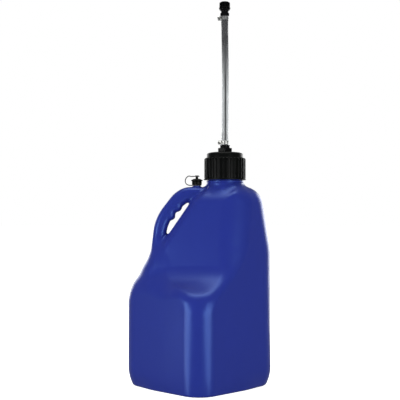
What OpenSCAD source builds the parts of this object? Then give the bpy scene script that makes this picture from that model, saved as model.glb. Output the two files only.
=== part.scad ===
// Square utility fuel jug with a moulded corner handle, a screw cap that carries
// a clear filler hose, and a small vent cap on a tether. Millimetres, +Z up.
// The origin is the middle of the base. +X runs along the diagonal of the square,
// from the handle corner to the corner beside the neck.

/* [Tank] */
// Width of the square body across its flats
body_w = 256; // [215:1:310]
// Radius of the upright corners
corner_r = 48; // [38:1:58]
// Radius of the edge around the base
base_r = 32; // [20:1:40]
// Wall thickness of the moulding
wall = 3; // [2:0.5:4]
// Height where the corners start to lean in
shoulder_z = 200; // [165:1:245]
// Rise from there to the ledge that the handle stands on
ledge_rise = 62; // [50:1:75]
// Rise from the ledge to the deck around the neck
upper_h = 188; // [155:1:230]
// Slope of the body under the handle, from level
scoop_deg = 55.3; // [50:0.1:60]
// Distance of the scoop's foot from the handle corner
scoop_set = 35; // [30:1:42]
// Turn of the upper side faces away from the diagonal
flank_deg = 20.6; // [16:0.1:25]
// Distance of an upper side face from the neck's axis, at the deck
flank_top = 52; // [50:1:60]
// Lean of the upper side faces
flank_lean = 14.4; // [10:0.1:18]
// Slope of the cuts over the corners
corner_slope = 58; // [50:1:65]
// Slope of the ledge beside the handle
ledge_slope = 12; // [8:1:16]
// Height where the faces beside the neck start to lean in
lean_z = 300; // [250:1:330]
// Lean of those faces
face_lean = 6.2; // [4:0.1:8]
// Depth of the hollow under the base
base_dish = 3; // [1:0.5:5]

/* [Neck] */
// Distance of the neck's axis from the middle of the jug
neck_x = 58; // [40:1:65]
// Outer radius of the neck
neck_r = 40.5; // [33:0.5:49]
// Wall of the neck
neck_wall = 5; // [3:0.5:7]
// Height of the neck above the deck
neck_h = 59; // [50:1:70]

/* [Handle] */
// Distance of the handle's foot from the handle corner
handle_set = 61; // [56:1:70]
// Thickness of the handle, seen from the side
handle_t = 31; // [26:1:34]
// Width of the handle across the palm
handle_w = 38; // [30:1:44]
// Length of the straight stretch with the finger grips
grip_l = 33; // [25:1:45]
// Lean of the leg from upright
leg_lean = 8; // [4:1:12]
// Lean of the grip from upright
grip_lean = 38; // [32:1:42]

/* [Vent] */
// Gap between the vent cap and the filler cap
vent_gap = 2.2; // [1:0.1:5]
// Outer radius of the vent spigot
vent_r = 7.5; // [6:0.5:9]
// Wall of the spigot
vent_wall = 4; // [2.5:0.5:5]
// Height of the vent spigot above the deck
vent_h = 13; // [10:0.5:16]

/* [Caps] */
// Height of the skirt of the filler cap
skirt_h = 50; // [42:1:58]
// Height of the crown on top of the skirt
crown_h = 10.5; // [9:0.5:14]
// Step in from the skirt to the crown
crown_step = 3.4; // [2:0.1:5]
// Wall of the caps
cap_wall = 4; // [3:0.5:5]
// Number of ribs around the filler cap
cap_ribs = 30; // [20:1:40]
// Height of the ribs
rib_h = 2.6; // [1.5:0.1:3.5]
// Running clearance between a cap and its neck, on the radius
cap_fit = 0.4; // [0.3:0.05:0.6]
// Thickness of the gaskets
gasket_t = 2; // [1:0.5:3]

/* [Hose] */
// Outer radius of the hose
hose_r = 8; // [6:0.5:10]
// Wall of the hose
hose_wall = 3; // [2:0.5:3.5]
// Length of each barb that the hose is pushed over
barb_l = 28; // [20:1:35]
// Across flats of the fitting's hexagon
hex_af = 31; // [28:1:36]

/* [Clamps] */
// Width of the clamp bands
band_w = 8; // [6:0.5:10]
// Thickness of the clamp bands
band_t = 0.8; // [0.6:0.1:1.2]

/* [Hidden] */
$fn = 64;
gap = 0.05;         // parts of one body that sit face to face
eps = 0.01;         // overlap of pieces within one solid
big = 1000;

half_d = (body_w / 2 - corner_r) * sqrt(2) + corner_r;   // reach of an upright corner
ledge_z = shoulder_z + ledge_rise;
deck_z = ledge_z + upper_h;
dish_w = body_w - 2 * (corner_r + 10);                  // hollow under the base
scoop_top_x = -half_d + scoop_set + upper_h / tan(scoop_deg);

// Filler cap
neck_bore_r = neck_r - neck_wall;
cap_bore_r = neck_r + cap_fit;
cap_root_r = cap_bore_r + cap_wall;
cap_lip = 1;                                    // lip past the ribs
cap_lip_r = cap_root_r + rib_h + cap_lip;
crown_r = cap_root_r - crown_step;
neck_top_z = deck_z + neck_h;
seat_z = neck_top_z + gasket_t + 2 * gap;      // underside of the cap's rim
skirt_top_z = seat_z + cap_wall;
skirt_z = skirt_top_z - skirt_h;
crown_z = skirt_top_z + crown_h;
crown_plate_z = crown_z - cap_wall;             // underside of the crown plate

// Vent
vent_bore_r = vent_r - vent_wall;
vent_skirt_r = vent_r + cap_fit + 2.4;
vent_flange_r = vent_skirt_r + 3;
vent_x = neck_x - cap_lip_r - vent_flange_r - vent_gap;
vent_cap_z = deck_z + 4;
vent_seat_z = deck_z + vent_h + 1.5 + 2 * gap;
vent_top_z = vent_seat_z + 3;
post_r = 3.2;
post_h = 8;
strap_w = 6;
strap_t = 1.8;

// Handle centre line in X and Z: leg, bend, grip, bend, run into the deck
function along(lean) = [sin(lean), cos(lean)];
function side(lean) = [-cos(lean), sin(lean)];
bend_lo_r = 86;
bend_hi_r = 36;
bend_steps = 8;
handle_top_z = deck_z - 2 - handle_t / 2;
leg_l = (handle_top_z - ledge_z - bend_lo_r * (sin(grip_lean) - sin(leg_lean))
         - grip_l * cos(grip_lean) - bend_hi_r * (1 - sin(grip_lean))) / cos(leg_lean);
handle_foot = [-half_d + handle_set, ledge_z];
leg_top = handle_foot + leg_l * along(leg_lean);
bend_lo_at = leg_top - bend_lo_r * side(leg_lean);
grip_foot = bend_lo_at + bend_lo_r * side(grip_lean);
grip_top = grip_foot + grip_l * along(grip_lean);
bend_hi_at = grip_top - bend_hi_r * side(grip_lean);
handle_end = [max(scoop_top_x, bend_hi_at.x) + 6, handle_top_z];

// Fitting through the crown
shank_r = 10;
shank_fit = 0.3;
washer_t = 1.5;
washer_r = 19;
flange_t = 2.5;
hex_z = crown_z + washer_t + flange_t + 2 * gap;
hex_t = 8;
collar_t = 7;
collar_r = hose_r + 3.5;
hose_z = hex_z + hex_t + collar_t + gap;
nut_t = 7;
nut_af = 30;
hose_bore_r = hose_r - hose_wall;
fitting_bore_r = hose_bore_r - 1.4;
barb_r = hose_bore_r + 0.6;
barb_step = 7;

// Hose route, from the fitting to the tip, chosen by hand
hose_x = [0, 0.1, 0.3, 0.6, 0.8, 1.0, 1.1, 1.2, 1.2, 1.1, 1.0, 0.8, 0.5, 0.2, -0.1, -0.3, -0.4];
hose_pitch = 18.5;
route = [for (i = [0:len(hose_x) - 1]) [neck_x + hose_x[i], 0, hose_z + i * hose_pitch]];
tip_x = route[len(route) - 1][0];
hose_top_z = route[len(route) - 1][2];

// Tip
tip_hex_t = 5.5;
tip_hex_af = 20;
tip_neck_t = 9.5;
spigot_r = 6.5;
spigot_h = 12;
end_flange_r = 13.3;
end_root_r = 9.6;

// Clamps
clamp_r = hose_r + 0.3;
lower_clamp_z = hose_z + 2;
upper_clamp_z = hose_top_z - 2 - band_w;
clamp_screw_r = 2.6;
clamp_screw_l = 15;
clamp_screw_y = clamp_r + band_t + clamp_screw_r + 1.2;

// ---- shared shapes -------------------------------------------------------

// Upright square with round corners and a round edge around its base
module rounded_prism(w, r, edge, h) {
    for (i = [-1, 1], j = [-1, 1])
        translate([i * (w / 2 - r), j * (w / 2 - r), 0])
            rotate_extrude() edge_profile(r, edge, h);
    for (a = [0, 90])
        rotate([0, 0, a]) rotate([90, 0, 0])
            translate([0, 0, -(w / 2 - r)]) linear_extrude(w - 2 * r) {
                edge_profile(w / 2, edge, h);
                mirror([1, 0]) edge_profile(w / 2, edge, h);
            }
}

// Half of an upright section whose outer foot is rounded
module edge_profile(half, edge, h) {
    translate([0, edge]) square([half, h - edge]);
    square([half - edge, edge + eps]);
    translate([half - edge, edge]) intersection() {
        circle(edge);
        translate([-eps, -edge]) square([edge + eps, edge + eps]);
    }
}

// Everything behind a plane through `at` that faces `azimuth`, leaning back by `lean`
module behind(at, azimuth, lean) {
    translate(at) rotate([0, 0, azimuth]) rotate([0, -lean, 0])
        translate([-big, -big / 2, -big / 2]) cube([big, big, big]);
}

// Regular polygon prism, measured across its flats
module hex_prism(af, h) {
    cylinder(h = h, d = af / cos(30), $fn = 6);
}

module ring(r_out, r_in, h) {
    difference() {
        cylinder(h = h, r = r_out);
        translate([0, 0, -1]) cylinder(h = h + 2, r = r_in);
    }
}

// Ribs around a cap, rooted inside its wall
module ribs(count, r_root, height, width, h) {
    for (i = [0:count - 1])
        rotate([0, 0, i * 360 / count])
            translate([r_root - 0.5, -width / 2, 0]) cube([height + 0.5, width, h]);
}

// ---- tank ----------------------------------------------------------------

// Outside of the body, or its inside when t is the wall
module jug_body(t) {
    lower_body(t);
    upper_body(t);
}

module full_prism(t) {
    floor_z = t > 0 ? t + base_dish : 0;
    translate([0, 0, floor_z]) rotate([0, 0, 45])
        rounded_prism(body_w - 2 * t, corner_r - t, base_r - t, deck_z - t - floor_z);
}

// Square lower part: a ledge slopes down from the scoop, and three corners are cut back
module lower_body(t) {
    intersection() {
        full_prism(t);
        behind([-half_d + t, 0, shoulder_z], 180, 90 - corner_slope);
        intersection_for (s = [-1, 1]) {
            behind([0, 0, ledge_z - t], s * (90 + flank_deg), 90 - ledge_slope);
            behind([0, s * (half_d - t), shoulder_z], s * 90, 90 - corner_slope);
        }
    }
}

// Wedge that narrows from the two faces beside the neck to the handle
module upper_body(t) {
    face = (body_w / 2 - t) / sqrt(2);
    flank = flank_top - t;
    intersection() {
        full_prism(t);
        behind([-half_d + scoop_set + t, 0, ledge_z], 180, 90 - scoop_deg);
        intersection_for (s = [-1, 1]) {
            azimuth = s * (90 + flank_deg);
            behind([neck_x + flank * cos(azimuth), flank * sin(azimuth), deck_z],
                   azimuth, flank_lean);
            behind([face, s * face, lean_z], s * 45, face_lean);
        }
    }
}

// Points at `h` outside the handle's centre line, from its foot to its upper end
function handle_side(h) = concat(
    [handle_foot + h * side(leg_lean)],
    [for (i = [0:bend_steps]) let (a = leg_lean + (grip_lean - leg_lean) * i / bend_steps)
        bend_lo_at + (bend_lo_r + h) * side(a)],
    [for (i = [0:bend_steps]) let (a = grip_lean + (90 - grip_lean) * i / bend_steps)
        bend_hi_at + (bend_hi_r + h) * side(a)],
    [handle_end + h * side(90)]);

// Hollow, when t is the wall, or solid
module handle(t) {
    h = handle_t / 2 - t;
    inside = handle_side(-h);
    rotate([90, 0, 0]) linear_extrude(handle_w - 2 * t, center = true)
        polygon(concat(handle_side(h), [for (i = [len(inside) - 1:-1:0]) inside[i]]));
}

// Bumps between the fingers, along the inside of the grip
module finger_grips() {
    for (i = [0:1]) {
        at = grip_foot + (4 + i * 25) * along(grip_lean) - (handle_t / 2 - 6.5) * side(grip_lean);
        translate([at.x, 0, at.y]) rotate([90, 0, 0])
            cylinder(h = handle_w - 14, r = 9, center = true);
    }
}

module neck_outside() {
    translate([neck_x, 0, deck_z]) rotate_extrude() {
        translate([0, -8]) square([neck_r, neck_h + 8]);
        polygon([[0, -8], [neck_r + 6, -8], [neck_r + 6, 0], [neck_r + 1, 5], [0, 5]]);
        translate([0, 9]) square([neck_r + 1.5, 4]);
    }
}

module tank_shell() {
    color("mediumblue") difference() {
        union() {
            jug_body(0);
            handle(0);
            finger_grips();
            neck_outside();
            translate([vent_x, 0, deck_z - 6]) cylinder(h = vent_h + 6, r = vent_r);
            translate([vent_x, 0, deck_z - 6]) cylinder(h = 6 + 2, r = vent_r + 3);
        }
        jug_body(wall);
        handle(wall);
        translate([neck_x, 0, deck_z - 20]) cylinder(h = neck_h + 30, r = neck_bore_r);
        translate([vent_x, 0, deck_z - 20]) cylinder(h = vent_h + 30, r = vent_bore_r);
        translate([0, 0, -1]) rotate([0, 0, 45])
            translate([-dish_w / 2, -dish_w / 2, 0]) cube([dish_w, dish_w, base_dish + 1]);
    }
}

// ---- filler cap ----------------------------------------------------------

module cap_gasket() {
    color("dimgray") translate([neck_x, 0, neck_top_z + gap])
        ring(neck_r - 0.5, neck_bore_r + 0.5, gasket_t);
}

module filler_cap() {
    color("#1c1c1e") translate([neck_x, 0, 0]) difference() {
        union() {
            translate([0, 0, skirt_z]) cylinder(h = skirt_h, r = cap_root_r);
            translate([0, 0, skirt_z]) cylinder(h = 2.5, r = cap_lip_r);
            translate([0, 0, skirt_z]) ribs(cap_ribs, cap_root_r, rib_h, 3.4, skirt_h - 2);
            translate([0, 0, skirt_top_z - eps]) cylinder(h = crown_h + eps, r = crown_r);
        }
        translate([0, 0, skirt_z - 1]) cylinder(h = seat_z - skirt_z + 1, r = cap_bore_r);
        translate([0, 0, seat_z - 1])
            cylinder(h = crown_plate_z - seat_z + 1, r = neck_bore_r);
        translate([0, 0, crown_plate_z - 1]) cylinder(h = cap_wall + 2, r = shank_r + shank_fit);
    }
}

module fitting_washer() {
    color("dimgray") translate([neck_x, 0, crown_z + gap])
        ring(washer_r - 0.5, shank_r + shank_fit, washer_t);
}

module barb(z, l) {
    translate([0, 0, z]) rotate_extrude()
        polygon(concat([[0, 0], [hose_bore_r - 0.6, 0]],
            [for (i = [0:floor(l / barb_step) - 1], k = [0, 1])
                [k == 0 ? barb_r : hose_bore_r - 0.6,
                 i * barb_step + (k == 0 ? 3 : barb_step)]],
            [[0, floor(l / barb_step) * barb_step]]));
}

module hose_fitting() {
    shank_z = crown_plate_z - nut_t - washer_t - 3;
    color("#202022") translate([neck_x, 0, 0]) difference() {
        union() {
            translate([0, 0, shank_z]) cylinder(h = hex_z - shank_z, r = shank_r);
            translate([0, 0, hex_z - flange_t]) cylinder(h = flange_t + eps, r = washer_r);
            translate([0, 0, hex_z]) hex_prism(hex_af, hex_t);
            translate([0, 0, hex_z + hex_t - eps])
                cylinder(h = collar_t + eps, r = collar_r);
            barb(hose_z - gap - eps, barb_l);
        }
        translate([0, 0, shank_z - 1])
            cylinder(h = hose_z + barb_l - shank_z + 2, r = fitting_bore_r);
    }
}

module nut_washer() {
    color("dimgray") translate([neck_x, 0, crown_plate_z - washer_t - gap])
        ring(shank_r + 5, shank_r + shank_fit, washer_t);
}

module bulkhead_nut() {
    color("#202022") translate([neck_x, 0, crown_plate_z - washer_t - nut_t - 2 * gap])
        difference() {
            hex_prism(nut_af, nut_t);
            translate([0, 0, -1]) cylinder(h = nut_t + 2, r = shank_r + gap);
        }
}

// ---- hose, clamps and tip -------------------------------------------------

// Tube swept along the route: an outer and an inner skin joined at both ends
module hose() {
    sides = 12;
    n = len(route);
    function skin(r) = [for (p = route, k = [0:sides - 1])
        p + r * [cos(k * 360 / sides), sin(k * 360 / sides), 0]];
    function quads(base, flip) = [for (i = [0:n - 2], k = [0:sides - 1])
        let (a = base + i * sides + k, b = base + i * sides + (k + 1) % sides)
            flip ? [a, b, b + sides, a + sides] : [a, a + sides, b + sides, b]];
    function lid(row, flip) = [for (k = [0:sides - 1])
        let (a = row * sides + k, b = row * sides + (k + 1) % sides, m = n * sides)
            flip ? [a, a + m, b + m, b] : [a, b, b + m, a + m]];
    color([0.86, 0.88, 0.9, 0.6])
        polyhedron(concat(skin(hose_r), skin(hose_bore_r + 0.65)),
                   concat(quads(0, false), quads(n * sides, true),
                          lid(0, false), lid(n - 1, true)), convexity = 6);
}

module clamp_band(z, x) {
    color("silver") translate([x, 0, z]) ring(clamp_r + band_t, clamp_r, band_w);
}

// Saddle over the worm, on the handle side of the hose
module clamp_housing(z, x) {
    block_h = clamp_screw_r * 2 + 1.6;
    color("lightgray") translate([x, 0, z]) difference() {
        translate([-clamp_screw_y - clamp_screw_r - 0.8, -5, -0.4])
            cube([clamp_screw_y + clamp_screw_r + 0.8 - 5, 10, band_w + 0.8]);
        translate([0, 0, -1]) cylinder(h = band_w + 2, r = clamp_r + band_t + gap);
        translate([-clamp_screw_y, 6, band_w / 2]) rotate([90, 0, 0])
            cylinder(h = 12, r = clamp_screw_r + 0.06);
    }
}

// Worm screw with a slotted hexagon head, lying across the hose
module clamp_screw(z, x) {
    color("gainsboro") translate([x - clamp_screw_y, 0, z + band_w / 2]) difference() {
        union() {
            translate([0, 7, 0]) rotate([90, 0, 0])
                cylinder(h = clamp_screw_l, r = clamp_screw_r);
            translate([0, -5.3, 0]) rotate([90, 0, 0]) hex_prism(6.6, 4.5);
        }
        translate([-0.5, -10.3, -4]) cube([1, 1.7, 8]);
    }
}

module tip_adapter() {
    z0 = hose_top_z + gap;
    color("#202022") translate([tip_x, 0, 0]) difference() {
        union() {
            mirror([0, 0, 1]) barb(-z0 - eps, barb_l);
            translate([0, 0, z0]) hex_prism(tip_hex_af, tip_hex_t);
            translate([0, 0, z0 + tip_hex_t - eps])
                cylinder(h = tip_neck_t - 4, r1 = 8.2, r2 = 9);
            translate([0, 0, z0 + tip_hex_t + tip_neck_t - 4 - 2 * eps])
                cylinder(h = 4, r1 = 9, r2 = 12.5);
            translate([0, 0, z0 + tip_hex_t]) cylinder(h = tip_neck_t + spigot_h, r = spigot_r);
        }
        translate([0, 0, z0 - barb_l - 1])
            cylinder(h = barb_l + tip_hex_t + tip_neck_t + spigot_h + 3, r = fitting_bore_r);
    }
}

tip_seat_z = hose_top_z + gap + tip_hex_t + tip_neck_t;

module end_cap_seal() {
    color("dimgray") translate([tip_x, 0, tip_seat_z + gap])
        ring(spigot_r + 2.6, spigot_r + 0.3, 1.2);
}

module end_cap() {
    h = spigot_h + 3.5;
    color("#1c1c1e") translate([tip_x, 0, tip_seat_z + 1.2 + 2 * gap]) difference() {
        union() {
            cylinder(h = h, r = end_root_r);
            cylinder(h = 2.4, r = end_flange_r);
            ribs(12, end_root_r, 3, 2, h - 1.5);
        }
        translate([0, 0, -1]) cylinder(h = spigot_h + 1.2, r = spigot_r + cap_fit);
    }
}

// ---- vent ----------------------------------------------------------------

module vent_gasket() {
    color("dimgray") translate([vent_x, 0, deck_z + vent_h + gap])
        ring(vent_r - 0.3, vent_bore_r + 0.3, 1.5);
}

module vent_cap() {
    color("#1c1c1e") translate([vent_x, 0, 0]) difference() {
        union() {
            translate([0, 0, vent_cap_z])
                cylinder(h = vent_top_z - vent_cap_z, r = vent_skirt_r);
            translate([0, 0, vent_top_z - 4.5]) cylinder(h = 3, r = vent_flange_r);
            translate([0, 0, vent_cap_z])
                ribs(16, vent_skirt_r, 1.2, 1.6, vent_top_z - vent_cap_z - 2);
            translate([0, 0, vent_top_z - eps]) cylinder(h = post_h, r = post_r);
        }
        translate([0, 0, vent_cap_z - 1])
            cylinder(h = vent_seat_z - vent_cap_z + 1, r = vent_r + cap_fit);
    }
}

// Strap from a collar around the spigot, out behind the cap and back to the post
module vent_tether() {
    low_z = deck_z + 2 + gap;
    high_z = vent_top_z + 5;
    loop_r = (high_z - low_z) / 2;
    loop_x = vent_x - vent_skirt_r - 3.5;
    color("#18181a") {
        difference() {
            union() {
                translate([vent_x, 0, low_z]) cylinder(h = strap_t, r = vent_r + 3);
                translate([loop_x, -strap_w / 2, low_z])
                    cube([vent_x - loop_x, strap_w, strap_t]);
            }
            translate([vent_x, 0, low_z - 1])
                cylinder(h = strap_t + 2, r = vent_r + gap);
        }
        translate([loop_x, strap_w / 2, low_z + loop_r + strap_t / 2]) rotate([90, 0, 0])
            rotate([0, 0, 90]) rotate_extrude(angle = 180)
                translate([loop_r - strap_t / 2, 0]) square([strap_t, strap_w]);
        difference() {
            union() {
                translate([vent_x, 0, high_z]) cylinder(h = strap_t, r = post_r + 3);
                translate([loop_x, -strap_w / 2, high_z])
                    cube([vent_x - loop_x, strap_w, strap_t]);
            }
            translate([vent_x, 0, high_z - 1]) cylinder(h = strap_t + 2, r = post_r + 0.35);
        }
    }
}

tank_shell();
vent_tether();
vent_gasket();
vent_cap();
cap_gasket();
filler_cap();
fitting_washer();
hose_fitting();
nut_washer();
bulkhead_nut();
hose();
clamp_band(lower_clamp_z, neck_x);  // lower_clamp_band
clamp_housing(lower_clamp_z, neck_x);  // lower_clamp_housing
clamp_screw(lower_clamp_z, neck_x);  // lower_clamp_screw
clamp_band(upper_clamp_z, tip_x);  // upper_clamp_band
clamp_housing(upper_clamp_z, tip_x);  // upper_clamp_housing
clamp_screw(upper_clamp_z, tip_x);  // upper_clamp_screw
tip_adapter();
end_cap_seal();
end_cap();
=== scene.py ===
"""The looks of a square blue fuel jug: tank and handle, ribbed screw cap, clear filler hose and vent cap."""

import math

import bpy
import numpy as np
from mathutils import Matrix, Vector


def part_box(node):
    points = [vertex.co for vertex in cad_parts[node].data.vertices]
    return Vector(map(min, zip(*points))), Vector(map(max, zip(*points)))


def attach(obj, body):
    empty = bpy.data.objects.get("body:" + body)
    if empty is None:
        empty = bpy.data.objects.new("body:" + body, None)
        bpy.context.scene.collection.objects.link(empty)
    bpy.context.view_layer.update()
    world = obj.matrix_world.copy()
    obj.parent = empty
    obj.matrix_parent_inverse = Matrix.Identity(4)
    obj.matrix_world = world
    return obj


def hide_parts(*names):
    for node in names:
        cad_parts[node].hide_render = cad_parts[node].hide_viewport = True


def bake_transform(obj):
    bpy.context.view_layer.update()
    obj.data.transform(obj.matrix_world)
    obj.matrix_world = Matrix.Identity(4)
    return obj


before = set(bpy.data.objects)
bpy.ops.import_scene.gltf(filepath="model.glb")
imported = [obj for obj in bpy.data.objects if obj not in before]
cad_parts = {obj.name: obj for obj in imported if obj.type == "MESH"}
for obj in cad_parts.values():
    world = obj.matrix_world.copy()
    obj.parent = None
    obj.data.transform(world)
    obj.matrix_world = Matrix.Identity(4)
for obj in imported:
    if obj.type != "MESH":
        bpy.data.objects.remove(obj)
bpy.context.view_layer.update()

MM = 0.001

# ---- places taken from the frame, in millimetres ----------------------------


def span(node):
    """Lowest and highest corner of a node of the frame, in millimetres."""
    low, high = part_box(node)
    return np.array(low) / MM, np.array(high) / MM


def middle(node):
    low, high = span(node)
    return (low + high) / 2


cap_low, cap_high = span("filler_cap")
gasket_low, gasket_high = span("cap_gasket")
vent_low, vent_high = span("vent_cap")
hose_low, hose_high = span("hose")
tip_low, tip_high = span("tip_adapter")
end_low, end_high = span("end_cap")
tank_low, tank_high = span("tank_shell")
fit_low, fit_high = span("hose_fitting")

NECK_X = middle("filler_cap")[0]
VENT_X = middle("vent_gasket")[0]
TIP_X = middle("end_cap")[0]
NECK_TOP_Z = gasket_low[2] - 0.05
DECK_Z = NECK_TOP_Z - 59
CROWN_Z = cap_high[2]
HOSE_R = 8.0
HOSE_X = 58.0
HOSE_Z = hose_low[2]
HOSE_TOP_Z = hose_high[2]

# ---- camera -----------------------------------------------------------------

CAMERA_AT = (0.0011, -2.145, 0.385)
CAMERA_AIM = (0.0011, 0.0, 0.4195)
FIELD_OF_VIEW = 24.0


def make_camera():
    data = bpy.data.cameras.new("camera")
    data.sensor_width = 36.0
    data.lens = data.sensor_width / 2 / math.tan(math.radians(FIELD_OF_VIEW / 2))
    data.clip_start = 0.05
    data.clip_end = 50.0
    camera = bpy.data.objects.new("camera", data)
    bpy.context.scene.collection.objects.link(camera)
    camera.location = CAMERA_AT
    aim = Vector(CAMERA_AIM) - Vector(CAMERA_AT)
    camera.rotation_mode = "QUATERNION"
    camera.rotation_quaternion = aim.to_track_quat("-Z", "Y")
    bpy.context.scene.camera = camera


# ---- mesh helpers -----------------------------------------------------------


def new_object(name, points, faces, sharp=38.0):
    """A mesh object from points in millimetres, shaded smooth apart from edges over `sharp` degrees."""
    mesh = bpy.data.meshes.new(name)
    mesh.from_pydata((np.asarray(points, float) * MM).tolist(), [], faces)
    mesh.validate()
    mesh.update()
    mesh.shade_smooth()
    mesh.set_sharp_from_angle(angle=math.radians(sharp))
    made = bpy.data.objects.new(name, mesh)
    bpy.context.scene.collection.objects.link(made)
    return made


def turned(name, rows, count=96, at=(0, 0, 0), turn=None, sharp=38.0):
    """A closed ring turned about Z, as rows of (radius, height). A radius may be a function of the angle."""
    angles = np.arange(count) * 2 * math.pi / count
    grid = np.zeros((len(rows), count, 3))
    for i, (radius, height) in enumerate(rows):
        r = radius(angles) if callable(radius) else radius
        grid[i, :, 0] = r * np.cos(angles)
        grid[i, :, 1] = r * np.sin(angles)
        grid[i, :, 2] = height
    points = grid.reshape(-1, 3)
    if turn is not None:
        points = points @ np.array(turn.to_3x3()).T
    points = points + np.array(at, float)
    faces = []
    n = len(rows)
    for i in range(n):
        for k in range(count):
            a, b = i * count + k, i * count + (k + 1) % count
            c, d = (i + 1) % n * count + (k + 1) % count, (i + 1) % n * count + k
            faces.append((a, b, c, d))
    return new_object(name, points, faces, sharp)


def rounded(corners, steps=4):
    """Rows of a turned outline. Each corner is (radius, height, fillet), and the outline is closed."""
    rows = []
    n = len(corners)
    for i, (r, z, fillet) in enumerate(corners):
        here = np.array([r, z], float)
        if fillet <= 0:
            rows.append((r, z))
            continue
        before = np.array(corners[i - 1][:2], float) - here
        after = np.array(corners[(i + 1) % n][:2], float) - here
        reach = min(np.linalg.norm(before), np.linalg.norm(after)) * 0.49
        before /= np.linalg.norm(before)
        after /= np.linalg.norm(after)
        half = math.acos(max(-1.0, min(1.0, before @ after))) / 2
        cut = min(fillet / math.tan(half), reach)
        start, end = here + before * cut, here + after * cut
        for k in range(steps + 1):
            t = k / steps
            point = start * (1 - t) ** 2 + here * 2 * t * (1 - t) + end * t ** 2
            rows.append((point[0], point[1]))
    return rows


def ribbed(base, height, count, width=0.5, phase=0.0):
    """Radius of a ribbed ring: `count` round-topped ribs, each taking `width` of its pitch."""
    def radius(angles):
        turn = (angles * count / (2 * math.pi) + phase) % 1.0
        off = np.abs(turn - 0.5) / (width / 2)
        return base + height * np.clip(1 - off ** 4, 0, 1) ** 0.5
    return radius


def hexagon(across_flats, limit):
    """Radius of a hexagon whose corners are turned down to `limit`."""
    def radius(angles):
        off = (angles + math.pi / 6) % (math.pi / 3) - math.pi / 6
        return np.minimum(across_flats / 2 / np.cos(off), limit)
    return radius


def hex_rows(across_flats, low, high, chamfer=1.2):
    """Rows of a hexagon with both ends chamfered, from the bottom up."""
    flat = across_flats / 2
    corner = flat / math.cos(math.pi / 6)
    return [(flat - 0.6, low), (hexagon(across_flats, flat + 0.1), low),
            (hexagon(across_flats, (flat + corner) / 2 + 0.3), low + chamfer * 0.4),
            (hexagon(across_flats, corner), low + chamfer),
            (hexagon(across_flats, corner), high - chamfer),
            (hexagon(across_flats, (flat + corner) / 2 + 0.3), high - chamfer * 0.4),
            (hexagon(across_flats, flat + 0.1), high), (flat - 0.6, high)]


def swept(name, path, section):
    """A strap along a path in the XZ plane; each section point is (out, across)."""
    path = np.asarray(path, float)
    n, m = len(path), len(section)
    points = np.zeros((n, m, 3))
    for i in range(n):
        ahead = path[min(i + 1, n - 1)] - path[max(i - 1, 0)]
        ahead /= np.linalg.norm(ahead)
        out = np.array([ahead[2], 0, -ahead[0]])
        for k, (a, b) in enumerate(section):
            points[i, k] = path[i] + out * a + np.array([0, b, 0])
    faces = [(i * m + k, i * m + (k + 1) % m, (i + 1) * m + (k + 1) % m, (i + 1) * m + k)
             for i in range(n - 1) for k in range(m)]
    faces.append(tuple(range(m - 1, -1, -1)))
    faces.append(tuple((n - 1) * m + k for k in range(m)))
    return new_object(name, points.reshape(-1, 3), faces, 40.0)


def spline(points, steps=8):
    """Catmull-Rom curve through the points, `steps` to a stretch."""
    p = np.asarray(points, float)
    p = np.vstack([2 * p[0] - p[1], p, 2 * p[-1] - p[-2]])
    out = []
    for i in range(1, len(p) - 2):
        for k in range(steps):
            t = k / steps
            out.append(0.5 * (2 * p[i] + (p[i + 1] - p[i - 1]) * t
                              + (2 * p[i - 1] - 5 * p[i] + 4 * p[i + 1] - p[i + 2]) * t ** 2
                              + (3 * p[i] - p[i - 1] - 3 * p[i + 1] + p[i + 2]) * t ** 3))
    out.append(p[-2])
    return np.array(out)


def rounded_block(name, low, high, radius, steps=3):
    """A block whose edges are rounded: a fine box pulled in to a rounded one."""
    low, high = np.array(low, float), np.array(high, float)
    mesh_points, faces, index = [], [], {}
    inner_low, inner_high = low + radius, high - radius
    ticks = []
    for a in range(3):
        ramp = [radius * (1 - math.cos(math.pi / 2 * k / steps)) for k in range(steps + 1)]
        ticks.append(np.array([low[a] + r for r in ramp] + [high[a] - r for r in reversed(ramp)]))
    counts = [len(t) for t in ticks]

    def vertex(i, j, k):
        key = (i, j, k)
        if key not in index:
            p = np.array([ticks[0][i], ticks[1][j], ticks[2][k]])
            core = np.clip(p, inner_low, inner_high)
            away = p - core
            length = np.linalg.norm(away)
            if length > 1e-9:
                p = core + away / length * radius
            index[key] = len(mesh_points)
            mesh_points.append(p)
        return index[key]

    for a in range(3):
        b, c = (a + 1) % 3, (a + 2) % 3
        for side in (0, counts[a] - 1):
            for u in range(counts[b] - 1):
                for v in range(counts[c] - 1):
                    quad = []
                    for du, dv in ((0, 0), (1, 0), (1, 1), (0, 1)):
                        key = [0, 0, 0]
                        key[a], key[b], key[c] = side, u + du, v + dv
                        quad.append(vertex(*key))
                    faces.append(tuple(quad if side else reversed(quad)))
    return new_object(name, mesh_points, faces, 30.0)


def finish_piece(made, body, slot, material, *nodes):
    """Paints a piece, sets what it rides on and which nodes of the frame it stands for."""
    made.data.materials.clear()
    made.data.materials.append(material)
    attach(made, body)
    if nodes:
        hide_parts(*nodes)
    return made


# ---- material groups --------------------------------------------------------


def make_group(name, inputs, outputs):
    """An empty shader group with float inputs and outputs, and its two end nodes."""
    tree = bpy.data.node_groups.new(name, "ShaderNodeTree")
    for label, value in inputs:
        socket = tree.interface.new_socket(label, in_out="INPUT", socket_type="NodeSocketFloat")
        socket.default_value = value
    for label in outputs:
        tree.interface.new_socket(label, in_out="OUTPUT", socket_type="NodeSocketFloat")
    return tree, tree.nodes.new("NodeGroupInput"), tree.nodes.new("NodeGroupOutput")


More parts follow.
